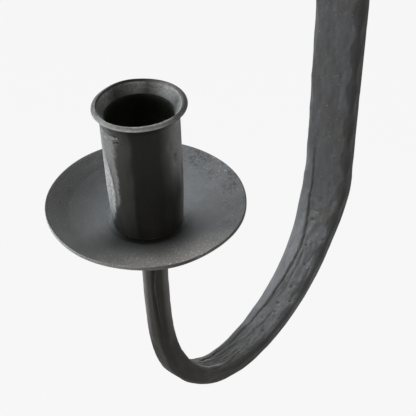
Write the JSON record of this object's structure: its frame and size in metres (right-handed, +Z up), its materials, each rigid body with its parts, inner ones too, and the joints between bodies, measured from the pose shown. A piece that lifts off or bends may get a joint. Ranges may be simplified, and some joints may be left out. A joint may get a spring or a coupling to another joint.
{
  "type": "wall candle holder",
  "caption": "Forged J-shaped wall candle holder: flat wall bar drawn into a hook and square stem, with a dished drip pan and a flared candle cup.",
  "frame": {"origin": "on the wall plane, midway between the two wall screws", "axes": "+Y into the wall, +Z up, +X to the right of someone who faces the wall"},
  "size_m": [0.072, 0.163, 0.2597],
  "materials": {
    "forged_iron": "hand-forged, blackened and waxed, satin",
    "pan_iron": "blackened sheet, fine grained satin",
    "cup_iron": "hammered, blackened, worn along its edges",
    "fixing_steel": "oil-blackened steel"
  },
  "bodies": {
    "root": {"arm": "forged_iron", "drip_pan": "pan_iron", "candle_cup": "cup_iron", "spring_washer": "fixing_steel", "fixing_screw": "fixing_steel"}
  },
  "joints": []
}
